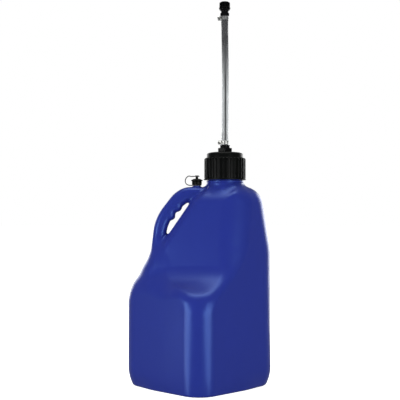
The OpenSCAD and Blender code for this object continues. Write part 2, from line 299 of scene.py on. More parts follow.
def math_node(tree, operation, a, b=None, clamp=False):
    node = tree.nodes.new("ShaderNodeMath")
    node.operation = operation
    node.use_clamp = clamp
    for i, value in enumerate((a, b)):
        if value is None:
            continue
        if isinstance(value, (int, float)):
            node.inputs[i].default_value = value
        else:
            tree.links.new(value, node.inputs[i])
    return node.outputs[0]


def noise_node(tree, scale, detail=3.0, roughness=0.55, stretch=(1, 1, 1)):
    """Noise over the piece's own coordinates, in metres. Scale is in waves a metre."""
    coordinates = tree.nodes.new("ShaderNodeTexCoord")
    mapping = tree.nodes.new("ShaderNodeMapping")
    mapping.inputs["Scale"].default_value = stretch
    noise = tree.nodes.new("ShaderNodeTexNoise")
    noise.inputs["Detail"].default_value = detail
    noise.inputs["Roughness"].default_value = roughness
    tree.links.new(coordinates.outputs["Object"], mapping.inputs["Vector"])
    tree.links.new(mapping.outputs["Vector"], noise.inputs["Vector"])
    if isinstance(scale, (int, float)):
        noise.inputs["Scale"].default_value = scale
    else:
        tree.links.new(scale, noise.inputs["Scale"])
    return noise.outputs["Fac"]


def make_grain_group():
    """Fine grain of a moulded surface: a height, and a mask of how rough each patch is."""
    tree, given, out = make_group("moulded_grain", [("Scale", 900.0), ("Patch Scale", 25.0)],
                                  ["Height", "Patches"])
    fine = noise_node(tree, given.outputs["Scale"], detail=2.0)
    patches = noise_node(tree, given.outputs["Patch Scale"], detail=4.0)
    tree.links.new(fine, out.inputs["Height"])
    tree.links.new(math_node(tree, "SUBTRACT", patches, 0.5), out.inputs["Patches"])
    return tree


def make_scratch_group():
    """Sparse handling marks: long thin streaks in two directions, as a mask from 0 to 1."""
    tree, given, out = make_group("handling_marks", [("Scale", 60.0), ("Amount", 0.5)], ["Mask"])
    masks = []
    for stretch in ((1, 1, 9), (7, 7, 1)):
        streak = noise_node(tree, given.outputs["Scale"], detail=6.0, roughness=0.7, stretch=stretch)
        masks.append(math_node(tree, "MULTIPLY", math_node(tree, "SUBTRACT", streak, 0.63, True), 6.0, True))
    both = math_node(tree, "MAXIMUM", masks[0], masks[1])
    tree.links.new(math_node(tree, "MULTIPLY", both, given.outputs["Amount"], True), out.inputs["Mask"])
    return tree


def make_dust_group():
    """Dust that settles where a surface looks up, broken into patches, as a mask."""
    tree, given, out = make_group("settled_dust", [("Amount", 0.3), ("Scale", 120.0)], ["Mask"])
    geometry = tree.nodes.new("ShaderNodeNewGeometry")
    axes = tree.nodes.new("ShaderNodeSeparateXYZ")
    tree.links.new(geometry.outputs["Normal"], axes.inputs[0])
    up = math_node(tree, "POWER", math_node(tree, "MAXIMUM", axes.outputs["Z"], 0.0), 3.0)
    patches = noise_node(tree, given.outputs["Scale"], detail=5.0, roughness=0.65)
    broken = math_node(tree, "MULTIPLY", up, patches)
    tree.links.new(math_node(tree, "MULTIPLY", broken, given.outputs["Amount"], True), out.inputs["Mask"])
    return tree


GRAIN = make_grain_group()
SCRATCHES = make_scratch_group()
DUST = make_dust_group()


def placed(tree, group, **values):
    node = tree.nodes.new("ShaderNodeGroup")
    node.node_tree = group
    for label, value in values.items():
        node.inputs[label.replace("_", " ")].default_value = value
    return node


def new_material(name, base, roughness, **plain):
    """A material with its Principled shader. Plain values go straight onto the shader's sockets."""
    material = bpy.data.materials.new(name)
    material.use_nodes = True
    tree = material.node_tree
    shader = tree.nodes["Principled BSDF"]
    shader.inputs["Base Color"].default_value = (*base, 1)
    shader.inputs["Roughness"].default_value = roughness
    for label, value in plain.items():
        shader.inputs[label.replace("_", " ")].default_value = value
    material.diffuse_color = (*base, 1)
    return material, tree, shader


def mix_colour(tree, factor, a, b):
    node = tree.nodes.new("ShaderNodeMix")
    node.data_type = "RGBA"
    if isinstance(factor, (int, float)):
        node.inputs[0].default_value = factor
    else:
        tree.links.new(factor, node.inputs[0])
    for i, value in ((6, a), (7, b)):
        if isinstance(value, tuple):
            node.inputs[i].default_value = (*value, 1)
        else:
            tree.links.new(value, node.inputs[i])
    return node.outputs[2]


def range_node(tree, value, low, high, to_low, to_high):
    node = tree.nodes.new("ShaderNodeMapRange")
    tree.links.new(value, node.inputs[0])
    for i, number in enumerate((low, high, to_low, to_high)):
        node.inputs[i + 1].default_value = number
    return node.outputs[0]


def bump(tree, shader, height, strength, distance):
    node = tree.nodes.new("ShaderNodeBump")
    node.inputs["Strength"].default_value = strength
    node.inputs["Distance"].default_value = distance
    tree.links.new(height, node.inputs["Height"])
    tree.links.new(node.outputs["Normal"], shader.inputs["Normal"])


def place(tree):
    """X, Y and Z of a point of the piece, in metres."""
    coordinates = tree.nodes.new("ShaderNodeTexCoord")
    axes = tree.nodes.new("ShaderNodeSeparateXYZ")
    tree.links.new(coordinates.outputs["Object"], axes.inputs[0])
    return axes.outputs


# ---- materials --------------------------------------------------------------

BLUE = (0.0155, 0.0248, 0.212)
BLUE_WORN = (0.03, 0.07, 0.36)


def blue_polyethylene():
    """Blow-moulded tank: satin, softly uneven, with the mould's parting line along the middle."""
    material, tree, shader = new_material("blue_polyethylene", BLUE, 0.3, Specular_IOR_Level=0.5,
                                          Specular_Tint=(0.24, 0.46, 1.0, 1.0))
    axes = place(tree)
    grain = placed(tree, GRAIN, Scale=1400.0, Patch_Scale=14.0)
    marks = placed(tree, SCRATCHES, Scale=42.0, Amount=0.5)
    dust = placed(tree, DUST, Amount=0.12, Scale=150.0)
    worn = mix_colour(tree, math_node(tree, "MULTIPLY", marks.outputs["Mask"], 0.35), BLUE, BLUE_WORN)
    deeper = math_node(tree, "ADD", math_node(tree, "MULTIPLY", grain.outputs["Patches"], 0.8), 0.15, True)
    toned = mix_colour(tree, deeper, worn, (0.0136, 0.0215, 0.188))
    dusty = mix_colour(tree, dust.outputs["Mask"], toned, (0.12, 0.14, 0.24))
    tree.links.new(dusty, shader.inputs["Base Color"])
    rough = math_node(tree, "ADD", math_node(tree, "MULTIPLY", grain.outputs["Patches"], 0.12), 0.3)
    rough = math_node(tree, "ADD", rough, math_node(tree, "MULTIPLY", marks.outputs["Mask"], 0.16))
    rough = math_node(tree, "ADD", rough, math_node(tree, "MULTIPLY", dust.outputs["Mask"], 0.8), True)
    tree.links.new(rough, shader.inputs["Roughness"])
    across = math_node(tree, "DIVIDE", axes["Y"], 0.0006)
    spread = math_node(tree, "ADD", math_node(tree, "MULTIPLY", across, across), 1.0)
    seam = math_node(tree, "DIVIDE", 1.0, spread)
    waves = noise_node(tree, 16.0, detail=1.0)
    height = math_node(tree, "ADD", math_node(tree, "MULTIPLY", grain.outputs["Height"], 0.05),
                       math_node(tree, "MULTIPLY", waves, 1.6))
    height = math_node(tree, "ADD", height, math_node(tree, "MULTIPLY", seam, 0.35))
    bump(tree, shader, height, 0.55, 0.0008)
    return material


def black_plastic(name, tone, roughness, grain_scale, dust_amount):
    """Moulded black plastic with fine grain, paler handling marks and a little dust."""
    material, tree, shader = new_material(name, tone, roughness, Specular_IOR_Level=0.07)
    grain = placed(tree, GRAIN, Scale=grain_scale, Patch_Scale=60.0)
    marks = placed(tree, SCRATCHES, Scale=90.0, Amount=0.8)
    dust = placed(tree, DUST, Amount=dust_amount, Scale=260.0)
    paler = tuple(c * 3.0 + 0.003 for c in tone)
    marked = mix_colour(tree, math_node(tree, "MULTIPLY", marks.outputs["Mask"], 0.5), tone, paler)
    dusty = mix_colour(tree, dust.outputs["Mask"], marked, (0.16, 0.15, 0.14))
    tree.links.new(dusty, shader.inputs["Base Color"])
    rough = math_node(tree, "ADD", math_node(tree, "MULTIPLY", grain.outputs["Patches"], 0.2), roughness)
    rough = math_node(tree, "ADD", rough, math_node(tree, "MULTIPLY", dust.outputs["Mask"], 0.5), True)
    tree.links.new(rough, shader.inputs["Roughness"])
    bump(tree, shader, grain.outputs["Height"], 0.35, 0.00012)
    return material


def soft_rubber(name, tone):
    """Matt rubber: a soft bloom in patches over a very fine grain."""
    material, tree, shader = new_material(name, tone, 0.62, Sheen_Weight=0.15, Sheen_Roughness=0.6)
    grain = placed(tree, GRAIN, Scale=2200.0, Patch_Scale=180.0)
    bloom = math_node(tree, "ADD", math_node(tree, "MULTIPLY", grain.outputs["Patches"], 1.2), 0.35, True)
    tree.links.new(mix_colour(tree, bloom, tone, tuple(c * 2.0 for c in tone)), shader.inputs["Base Color"])
    rough = math_node(tree, "ADD", math_node(tree, "MULTIPLY", grain.outputs["Patches"], 0.25), 0.62, True)
    tree.links.new(rough, shader.inputs["Roughness"])
    bump(tree, shader, grain.outputs["Height"], 0.3, 0.00008)
    return material


def clear_vinyl():
    """Clear hose: water white below, with painted shade turning it grey towards the tip, and a faint dark
    line down its middle.
    """
    material, tree, shader = new_material("clear_vinyl", (0.8, 0.83, 0.85), 0.12, IOR=1.38,
                                          Transmission_Weight=0.5, Specular_IOR_Level=0.5)
    axes = place(tree)
    # Painted shade: the hose is coloured dark grey towards the tip, standing in for the lights' reflections
    # that end there.
    painted_top_shade = range_node(tree, axes["Z"], 0.66, 0.78, 0.0, 1.0)
    cloud = noise_node(tree, 45.0, detail=4.0)
    cloud = math_node(tree, "MULTIPLY", math_node(tree, "SUBTRACT", cloud, 0.5), 0.3)
    painted_top_shade = math_node(tree, "ADD", painted_top_shade, cloud, True)
    shaded_tone = mix_colour(tree, painted_top_shade, (0.66, 0.68, 0.69), (0.11, 0.11, 0.115))
    aside = math_node(tree, "ABSOLUTE", math_node(tree, "SUBTRACT", axes["X"], 0.0589))
    line = range_node(tree, aside, 0.0009, 0.0026, 1.0, 0.0)
    line = math_node(tree, "MULTIPLY", line, range_node(tree, painted_top_shade, 0.2, 1.0, 0.9, 0.15), True)
    tree.links.new(mix_colour(tree, line, shaded_tone, (0.03, 0.03, 0.032)), shader.inputs["Base Color"])
    haze = noise_node(tree, 160.0, detail=3.0, stretch=(1, 1, 0.15))
    tree.links.new(range_node(tree, haze, 0.3, 0.7, 0.08, 0.2), shader.inputs["Roughness"])
    bump(tree, shader, haze, 0.25, 0.0002)
    return material


def dark_line_material():
    """Dark line along the inside of the hose."""
    material, tree, shader = new_material("hose_dark_line", (0.03, 0.03, 0.032), 0.5)
    fade = noise_node(tree, 120.0, detail=2.0, stretch=(1, 1, 0.3))
    faded = mix_colour(tree, fade, (0.015, 0.015, 0.016), (0.09, 0.09, 0.095))
    tree.links.new(faded, shader.inputs["Base Color"])
    return material


def steel(name, tone, roughness, stretch):
    """Bright metal, drawn or plated: fine lines along one direction and a few dull patches."""
    material, tree, shader = new_material(name, tone, roughness, Metallic=1.0)
    lines = noise_node(tree, 700.0, detail=4.0, roughness=0.7, stretch=stretch)
    patches = noise_node(tree, 110.0, detail=3.0)
    dull = tuple(c * 0.62 for c in tone)
    shade = math_node(tree, "MULTIPLY", lines, patches)
    tree.links.new(mix_colour(tree, range_node(tree, shade, 0.15, 0.4, 0.0, 1.0), dull, tone),
                   shader.inputs["Base Color"])
    rough = range_node(tree, lines, 0.3, 0.7, roughness - 0.08, roughness + 0.12)
    tree.links.new(rough, shader.inputs["Roughness"])
    bump(tree, shader, lines, 0.25, 0.00006)
    return material


BLUE_TANK = blue_polyethylene()
BLACK_CAP = black_plastic("black_cap_plastic", (0.0022, 0.0026, 0.0024), 0.3, 1500.0, 0.1)
BLACK_FITTING = black_plastic("black_fitting_plastic", (0.0026, 0.0027, 0.0028), 0.26, 1100.0, 0.08)
STRAP_RUBBER = soft_rubber("black_strap_rubber", (0.012, 0.012, 0.013))
SEAL_RUBBER = soft_rubber("seal_rubber", (0.02, 0.02, 0.02))
CLEAR_VINYL = clear_vinyl()
DARK_LINE = dark_line_material()
STAINLESS = steel("stainless_steel", (0.62, 0.62, 0.6), 0.28, (0.12, 0.12, 1.0))
PLATED = steel("plated_screw", (0.58, 0.58, 0.55), 0.24, (1.0, 0.2, 1.0))


# ---- tank: a smooth body worked out as a distance field, in millimetres -----------

BODY_HALF = 128.0
CORNER_R = 48.0
BASE_R = 4.0
SHOULDER_Z = 200.0
LEDGE_Z = 262.0
REACH = (BODY_HALF - CORNER_R) * math.sqrt(2) + CORNER_R
SCOOP_SET = 35.0
SCOOP_LEAN = 34.7
FLANK_TURN = 110.6
FLANK_TOP = 52.0
FLANK_LEAN = 14.4
FACE_LEAN = 6.2
LEAN_Z = 300.0
NECK_BORE_R = 35.5
DRAFT = 0.008
FACE_AT = 90.5
SHOULDER_LEAN = 32.0
LEDGE_LEAN = 75.5
FLANK_AT = (58.0, 450.0)
CUTS_FILL = 34.0
COLLAR_R = 41.6
COLLAR_RISE = 9.5
SPIGOT_FOOT_R = 9.5
DISH_HALF = 66.0
DISH_DEPTH = 2.5
TANK_TOP_Z = 475.0
CELL = 2.6

# Handle's centre line, with its half thickness: X, Z, half thickness
HANDLE_LINE = [(-83, 262, 31), (-85.5, 286, 26), (-89, 308, 20.5), (-91.5, 332, 15.4), (-88, 358, 15.2),
               (-79, 381, 15.3), (-64, 402, 15.5), (-46, 421, 17), (-26, 432, 16.5), (6, 432, 16.5)]
HANDLE_HALF_WIDTH = 19.0
HANDLE_EDGE_R = 13.0
FINGER_BUMPS = [(-49.3, 401.9, 8.6), (-64.0, 382.6, 8.6)]


def round_max(a, b, r):
    """Overlap of two fields, with the edge between them rounded."""
    return np.minimum(np.maximum(a, b), -r) + np.hypot(np.maximum(a + r, 0), np.maximum(b + r, 0))


def round_min(a, b, r):
    """Union of two fields, with the corner between them filled."""
    return np.maximum(np.minimum(a, b), r) - np.hypot(np.maximum(r - a, 0), np.maximum(r - b, 0))


def leaning(p, at, azimuth, lean):
    """Distance in front of a plane through `at` that faces `azimuth` and leans back, in degrees."""
    a, e = math.radians(azimuth), math.radians(lean)
    n = (math.cos(e) * math.cos(a), math.cos(e) * math.sin(a), math.sin(e))
    return sum(n[i] * (p[i] - at[i]) for i in range(3))


def square_post(p):
    """Upright square with round corners and a slight draft towards the neck side."""
    x, y, z = p
    draft = 1 + DRAFT * np.clip((z - 45) / 95, 0, 1) * np.clip(x / 60, 0, 1)
    x = x * draft
    u = np.abs((x + y) / math.sqrt(2)) - (BODY_HALF - CORNER_R)
    v = np.abs((x - y) / math.sqrt(2)) - (BODY_HALF - CORNER_R)
    side = np.hypot(np.maximum(u, 0), np.maximum(v, 0)) + np.minimum(np.maximum(u, v), 0) - CORNER_R
    return side + (1.5 + 9.5 * ramp(np.abs(p[0]), 95, 150)) * np.clip(1 - z / 42, 0, 1) ** 2


def ramp(value, low, high):
    """Smooth step from 0 at `low` to 1 at `high`."""
    t = np.clip((value - low) / (high - low), 0, 1)
    return t * t * (3 - 2 * t)


def outer_post(p):
    """Square post with its rounded foot, its faces leaning in above the middle, and the deck."""
    f = round_max(square_post(p), 0 - p[2], BASE_R)
    faces = round_max(leaning(p, (FACE_AT, FACE_AT, LEAN_Z), 45, FACE_LEAN),
                      leaning(p, (FACE_AT, -FACE_AT, LEAN_Z), -45, FACE_LEAN), CORNER_R)
    f = round_max(f, faces, 2)
    return round_max(f, p[2] - DECK_Z, 17 + 21 * ramp(p[0], 60, 110))


def lower_cuts(p):
    """Shoulders above the three outer corners, and the ledge that rises to the neck side."""
    f = leaning(p, (-REACH, 0, SHOULDER_Z + 6), 180, SHOULDER_LEAN)
    for s in (-1, 1):
        f = round_max(f, leaning(p, (0, s * REACH, SHOULDER_Z), s * 90, SHOULDER_LEAN), 14)
    ledge = round_max(leaning(p, (0, 0, LEDGE_Z), FLANK_TURN, LEDGE_LEAN),
                      leaning(p, (0, 0, LEDGE_Z), -FLANK_TURN, LEDGE_LEAN), 20)
    return round_max(f, ledge, 26 + 8 * ramp(-p[0], 20, 90))


def upper_cuts(p):
    """Flanks that close in on the neck, and the scoop behind the handle."""
    flanks = []
    for s in (-1, 1):
        a = math.radians(s * FLANK_TURN)
        at = (FLANK_AT[0] + FLANK_TOP * math.cos(a), FLANK_TOP * math.sin(a), FLANK_AT[1])
        flanks.append(leaning(p, at, s * FLANK_TURN, FLANK_LEAN))
    scoop = leaning(p, (-REACH + SCOOP_SET, 0, LEDGE_Z), 180, SCOOP_LEAN)
    return round_max(round_max(flanks[0], flanks[1], 12), scoop, 17)


def near_line(x, z, line):
    """Distance to a line with its own thickness at each point, in the XZ plane."""
    best = None
    for (ax, az, ar), (bx, bz, br) in zip(line[:-1], line[1:]):
        dx, dz = bx - ax, bz - az
        t = np.clip(((x - ax) * dx + (z - az) * dz) / (dx * dx + dz * dz), 0, 1)
        d = np.hypot(x - ax - t * dx, z - az - t * dz) - (ar + t * (br - ar))
        best = d if best is None else np.minimum(best, d)
    return best


def handle_field(p):
    x, y, z = p
    side = near_line(x, z, spline(HANDLE_LINE, 5))
    for bx, bz, r in FINGER_BUMPS:
        side = round_min(side, np.hypot(x - bx, z - bz) - r, 4.0)
    width = HANDLE_HALF_WIDTH + 20 * (1 - ramp(z, 262, 350))
    edge = HANDLE_EDGE_R + 10 * (1 - ramp(z, 265, 340))
    q, w = side + edge, np.abs(y) - width + edge
    return np.hypot(np.maximum(q, 0), np.maximum(w, 0)) + np.minimum(np.maximum(q, w), 0) - edge


def foot_pad(p):
    """Low mound on the ledge that the handle stands on."""
    x, y, z = p
    q = np.sqrt(((x + 92) / 36) ** 2 + (y / 40) ** 2 + ((z - 252) / 27) ** 2)
    return (q - 1) * 27


def tank_field(p):
    x, y, z = p
    cuts = round_min(lower_cuts(p), upper_cuts(p), CUTS_FILL)
    f = round_max(outer_post(p), cuts, 17 + 15 * ramp(-x, 40, 85) + 22 * ramp(z, 235, 320))
    f = round_min(f, foot_pad(p), 12)
    f = round_min(f, handle_field(p), 8 + 16 * (1 - ramp(z, 270, 345)))
    from_neck = np.hypot(x - NECK_X, y)
    collar = np.maximum(from_neck - COLLAR_R, z - (DECK_Z + COLLAR_RISE))
    f = round_min(f, collar, 13)
    f = np.maximum(f, -np.maximum(from_neck - NECK_BORE_R, DECK_Z - 40 - z))
    spigot = np.maximum(np.hypot(x - VENT_X, y) - SPIGOT_FOOT_R, z - (DECK_Z + 1.5))
    f = round_min(f, spigot, 3)
    dish = np.maximum(np.abs(x + y), np.abs(x - y)) / math.sqrt(2) - DISH_HALF
    dish = np.maximum(dish, z - DISH_DEPTH)
    return round_max(f, -dish, 2.5)


def surface_nets(field, low, high, cell):
    """Mesh of the zero surface of a field: one point in each cell it crosses, moved onto the surface."""
    ticks = [np.arange(low[a], high[a] + cell, cell, dtype=np.float32) for a in range(3)]
    axes = (ticks[0][:, None, None], ticks[1][None, :, None], ticks[2][None, None, :])
    values = np.asarray(field(axes), np.float32)
    inside = values < 0
    shape = tuple(n - 1 for n in values.shape)
    total, hits = np.zeros(shape + (3,), np.float32), np.zeros(shape, np.float32)
    corner = [(i, j, k) for i in (0, 1) for j in (0, 1) for k in (0, 1)]

    def part(array, c):
        return array[c[0]:c[0] + shape[0], c[1]:c[1] + shape[1], c[2]:c[2] + shape[2]]

    for c in corner:
        for axis in range(3):
            if c[axis]:
                continue
            d = tuple(c[a] + (a == axis) for a in range(3))
            va, vb = part(values, c), part(values, d)
            crossed = (va < 0) != (vb < 0)
            t = np.where(crossed, va / np.where(crossed, va - vb, 1), 0)
            for a in range(3):
                total[..., a] += np.where(crossed, c[a] + (t if a == axis else 0), 0)
            hits += crossed
    used = hits > 0
    number = np.full(shape, -1, np.int64)
    number[used] = np.arange(used.sum())
    where = np.argwhere(used)
    points = (where + total[used] / hits[used][:, None]) * cell + np.array([t[0] for t in ticks])
    faces = []
    for axis in range(3):
        b, c = (axis + 1) % 3, (axis + 2) % 3
        lower = [slice(1, n) for n in shape]
        here = inside[tuple(slice(1, n) for n in shape)]
        ahead_slice = list(lower)
        ahead_slice[axis] = slice(2, shape[axis] + 1)
        ahead = inside[tuple(ahead_slice)]
        for flip, pick in ((False, here & ~ahead), (True, ~here & ahead)):
            cells = np.argwhere(pick) + 1
            if not len(cells):
                continue
            quads = []
            for db, dc in ((0, 0), (1, 0), (1, 1), (0, 1)):
                at = cells.copy()
                at[:, b] -= 1 - db
                at[:, c] -= 1 - dc
                quads.append(number[at[:, 0], at[:, 1], at[:, 2]])
            quads = np.stack(quads, 1)
            faces.append(quads[:, ::-1] if flip else quads)
    faces = np.concatenate(faces)

    def at_points(q):
        return np.asarray(field((q[:, 0], q[:, 1], q[:, 2])))

    for _ in range(3):
        value = at_points(points)
        slope = np.zeros_like(points)
        for a in range(3):
            step = np.zeros(3)
            step[a] = 0.05
            slope[:, a] = (at_points(points + step) - at_points(points - step)) / 0.1
        steep = np.maximum((slope ** 2).sum(1), 0.3)
        move = slope * (value / steep)[:, None]
        length = np.linalg.norm(move, axis=1)[:, None]
        points = points - move * np.minimum(1, cell * 0.5 / np.maximum(length, 1e-6))
    return points, faces


def make_tank():
    margin = 4
    top = (tank_high[0] + margin, tank_high[1] + margin, TANK_TOP_Z)
    points, faces = surface_nets(tank_field, tank_low - margin, top, CELL)
    points[:, 2] = np.maximum(points[:, 2], 0.0)
    made = new_object("jug_body", points, faces.tolist(), 60.0)
    return finish_piece(made, "tank", "blue_polyethylene", BLUE_TANK, "tank_shell")


def make_neck():
    """Screwed neck above the tank's collar: a bead, a groove, the thread and a flat rim."""
    z = DECK_Z
    thread_turns, thread_low, thread_high = 2.6, z + 24, z + 50
    rows = [(NECK_BORE_R, z - 6), (40.5, z - 6), (40.6, z + 4), (41.2, z + 9.0), (42.2, z + 9.8),
            (42.2, z + 12.4), (41.2, z + 13.4), (37.2, z + 14.2), (37.0, z + 17)]

    def screw_radius(height):
        def radius(angles):
            pitch = (thread_high - thread_low) / thread_turns
            phase = ((height - thread_low) / pitch - angles / (2 * math.pi)) % 1.0
            fade = np.clip(min(height - thread_low + 3, thread_high + 3 - height) / 5, 0, 1)
            return 38.2 + 2.1 * fade * np.clip(1 - (np.abs(phase - 0.5) / 0.27) ** 3, 0, 1)
        return radius

    steps = 64
    for i in range(steps + 1):
        height = z + 18 + (NECK_TOP_Z - 3 - z - 18) * i / steps
        rows.append((screw_radius(height), height))
    rows += [(38.2, NECK_TOP_Z - 1), (37.6, NECK_TOP_Z - 0.1), (NECK_BORE_R + 0.6, NECK_TOP_Z - 0.1),
             (NECK_BORE_R, NECK_TOP_Z - 0.8)]
    made = turned("filler_neck", rows, 144, (NECK_X, 0, 0))
    return finish_piece(made, "tank", "blue_polyethylene", BLUE_TANK)


def make_vent_spigot():
    z, top = DECK_Z, DECK_Z + 12.9
    rows = [(3.5, z - 2), (7.3, z - 2), (7.3, z + 5)]
    for i in range(5):
        height = z + 5.6 + i * 1.4
        rows += [(7.0, height - 0.5), (7.5, height), (7.5, height + 0.3), (7.0, height + 0.8)]
    rows += [(7.1, top - 0.5), (6.7, top), (3.8, top), (3.5, top - 0.4)]
    made = turned("vent_spigot", rows, 48, (VENT_X, 0, 0))
    return finish_piece(made, "tank", "blue_polyethylene", BLUE_TANK)


# ---- filler cap --------------------------------------------------------------

CAP_RIBS = 32


def make_filler_cap():
    """Ribbed skirt with a lip, a rounded step, the crown, and the threaded inside."""
    bottom = cap_low[2]
    skirt_top = gasket_high[2] + 4.05
    root, rib = 44.4, 2.9

    def side(share):
        return ribbed(root, rib * share, CAP_RIBS, 0.56)

    rows = [(41.6, bottom), (48.0, bottom), (48.4, bottom + 0.6), (48.3, bottom + 1.8), (47.2, bottom + 2.6),
            (side(0.75), bottom + 3.0), (side(1.0), bottom + 5.0)]
    for i in range(1, 9):
        rows.append((side(1.0), bottom + 5 + (skirt_top - 4 - bottom - 5) * i / 8))
    rows += [(side(0.85), skirt_top - 2.4), (side(0.45), skirt_top - 0.9), (root - 0.6, skirt_top - 0.1),
             (42.4, skirt_top + 0.1), (41.6, skirt_top + 0.6)]
    rows += [(41.4, skirt_top + 2.0), (41.3, CROWN_Z - 2.2), (40.8, CROWN_Z - 0.9), (39.6, CROWN_Z - 0.15)]
    rows += [(38.4, CROWN_Z + 0.5), (34, CROWN_Z + 1.8), (28.5, CROWN_Z + 2.5), (23.5, CROWN_Z + 1.9),
             (20.8, CROWN_Z), (10.35, CROWN_Z), (10.35, CROWN_Z - 4)]
    rows += [(30, CROWN_Z - 4), (34, CROWN_Z - 4.6), (34.6, CROWN_Z - 6),
             (34.6, gasket_high[2] + 0.05), (41.0, gasket_high[2] + 0.05)]
    inside_top, inside_low = gasket_high[2] - 1, bottom + 2
    for i in range(61):
        z = inside_top + (inside_low - inside_top) * i / 60
        fade = min(1.0, max(0.0, (inside_top - z) / 6), max(0.0, (z - bottom - 12) / 6))

        def radius(angles, z=z, fade=fade):
            phase = ((z - inside_low) / 10.0 - angles / (2 * math.pi)) % 1.0
            return 41.2 - 0.7 * fade * np.clip(1 - (np.abs(phase - 0.5) / 0.25) ** 2, 0, 1)
        rows.append((radius, z))
    made = turned("filler_cap_shell", rows[::-1], CAP_RIBS * 14, (NECK_X, 0, 0), sharp=42)
    return finish_piece(made, "filler_cap", "black_cap_plastic", BLACK_CAP, "filler_cap")


def ring_piece(name, node, body, slot, material):
    """A flat washer or gasket with eased edges, as large as its node in the frame."""
    low, high = span(node)
    x, y, _ = middle(node)
    outer = (high[0] - low[0]) / 2
    inner = inner_radius(node)
    edge = 0.3
    rows = rounded([(inner, low[2], edge), (outer, low[2], edge),
                    (outer, high[2], edge), (inner, high[2], edge)], 3)
    made = turned(name, rows, 96, (x, y, 0))
    return finish_piece(made, body, slot, material, node)


def inner_radius(node):
    """Radius of the hole in a ring of the frame."""
    x, y, _ = middle(node)
    points = np.array([v.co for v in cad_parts[node].data.vertices]) / MM
    return np.hypot(points[:, 0] - x, points[:, 1] - y).min()


def make_hose_fitting():
    """Bulkhead fitting: threaded shank, flange, hexagon, collar and the barbs inside the hose."""
    flange_z = CROWN_Z + 1.6
    hex_low, hex_high = HOSE_Z - 15.05, HOSE_Z - 7.05
    shank_low = fit_low[2]
    rows = [(3.6, shank_low), (9.2, shank_low), (9.9, shank_low + 0.7)]
    z = shank_low + 1.2
    while z < flange_z - 2.2:
        rows += [(9.95, z), (9.95, z + 0.3), (9.3, z + 0.75), (9.3, z + 0.9)]
        z += 1.4
    rows += [(9.8, flange_z), (18.2, flange_z), (18.9, flange_z + 0.5), (18.7, flange_z + 1.3),
             (17.4, flange_z + 2.0)]
    rows += hex_rows(31, hex_low, hex_high, 1.4)
    rows += [(11.6, hex_high + 0.1), (11.5, hex_high + 1.2), (10.9, hex_high + 1.6), (10.9, hex_high + 4.6),
             (11.4, hex_high + 5.1), (11.4, hex_high + 6.4), (10.8, hex_high + 6.95), (4.6, hex_high + 6.95)]
    for i in range(4):
        base = HOSE_Z + 7 * i
        rows += [(5.5, base + 0.2), (5.55, base + 2.6), (5.3, base + 3.4), (4.5, base + 6.6)]
    rows += [(4.3, fit_high[2] - 0.3), (3.9, fit_high[2]), (3.6, fit_high[2] - 0.2)]
    made = turned("hose_fitting_body", rows, 120, (NECK_X, 0, 0), sharp=30)
    return finish_piece(made, "filler_cap", "black_fitting_plastic", BLACK_FITTING, "hose_fitting")


def make_bulkhead_nut():
    low, high = span("bulkhead_nut")
    rows = [(10.05, low[2] + 0.3), (10.6, low[2])]
    rows += hex_rows(30, low[2], high[2], 1.2)
    rows += [(10.6, high[2]), (10.05, high[2] - 0.3)]
    made = turned("bulkhead_nut_body", rows, 96, (NECK_X, 0, 0), sharp=30)
    return finish_piece(made, "filler_cap", "black_fitting_plastic", BLACK_FITTING, "bulkhead_nut")


# ---- hose, in millimetres -------------------------------------------------------

HOSE_PITCH = 18.5
HOSE_BENDS = [0, 0.1, 0.3, 0.6, 0.8, 1.0, 1.1, 1.2, 1.2, 1.1, 1.0, 0.8, 0.5, 0.2, -0.1, -0.3, -0.4]
HOSE_ROUTE = [(HOSE_X + x, 0.0, HOSE_Z + HOSE_PITCH * i) for i, x in enumerate(HOSE_BENDS)]


def make_hose():
    """Clear tube with its bore: it swells a little over the barbs."""
    path = spline(HOSE_ROUTE, 6)
    count = 48
    angles = np.arange(count) * 2 * math.pi / count
    along = path[:, 2]
    swell = np.exp(-((along - HOSE_Z - 17) / 6.0) ** 2) + np.exp(-((along - HOSE_TOP_Z + 17) / 6.0) ** 2)
    outer = HOSE_R - 0.05 + 0.35 * swell
    bore = 5.05 + 0.6 * np.clip(1 - np.minimum(along - HOSE_Z, HOSE_TOP_Z - along) / 30, 0, 1) ** 0.3
    rings, faces = [], []
    for radii, order in ((outer, range(len(path))), (bore, range(len(path) - 1, -1, -1))):
        for i in order:
            ring = np.stack([path[i, 0] + radii[i] * np.cos(angles), radii[i] * np.sin(angles),
                             np.full(count, path[i, 2])], 1)
            rings.append(ring)
    n = len(rings)
    for i in range(n):
        for k in range(count):
            a, b = i * count + k, i * count + (k + 1) % count
            faces.append((a, b, (i + 1) % n * count + (k + 1) % count, (i + 1) % n * count + k))
    made = new_object("hose_tube", np.concatenate(rings), faces, 50)
    finish_piece(made, "filler_cap", "clear_vinyl", CLEAR_VINYL, "hose")
    return made


def make_dark_line():
    """Thin line along the wall of the hose, on the side away from the handle's axis."""
    path = spline(HOSE_ROUTE, 6)
    path = path[(path[:, 2] > HOSE_Z + 34) & (path[:, 2] < HOSE_TOP_Z - 34)]
    points, faces = [], []
    for p in path:
        for across, depth in ((-1.5, 6.6), (1.5, 6.6), (1.5, 5.9), (-1.5, 5.9)):
            points.append((p[0] + across, -depth, p[2]))
    for i in range(len(path) - 1):
        for k in range(4):
            faces.append((i * 4 + k, i * 4 + (k + 1) % 4, i * 4 + 4 + (k + 1) % 4, i * 4 + 4 + k))
    last = (len(path) - 1) * 4
    faces += [(3, 2, 1, 0), (last, last + 1, last + 2, last + 3)]
    made = new_object("hose_dark_line", points, faces, 40)
    return finish_piece(made, "filler_cap", "clear_vinyl", DARK_LINE)


# ---- clamps ----------------------------------------------------------------------


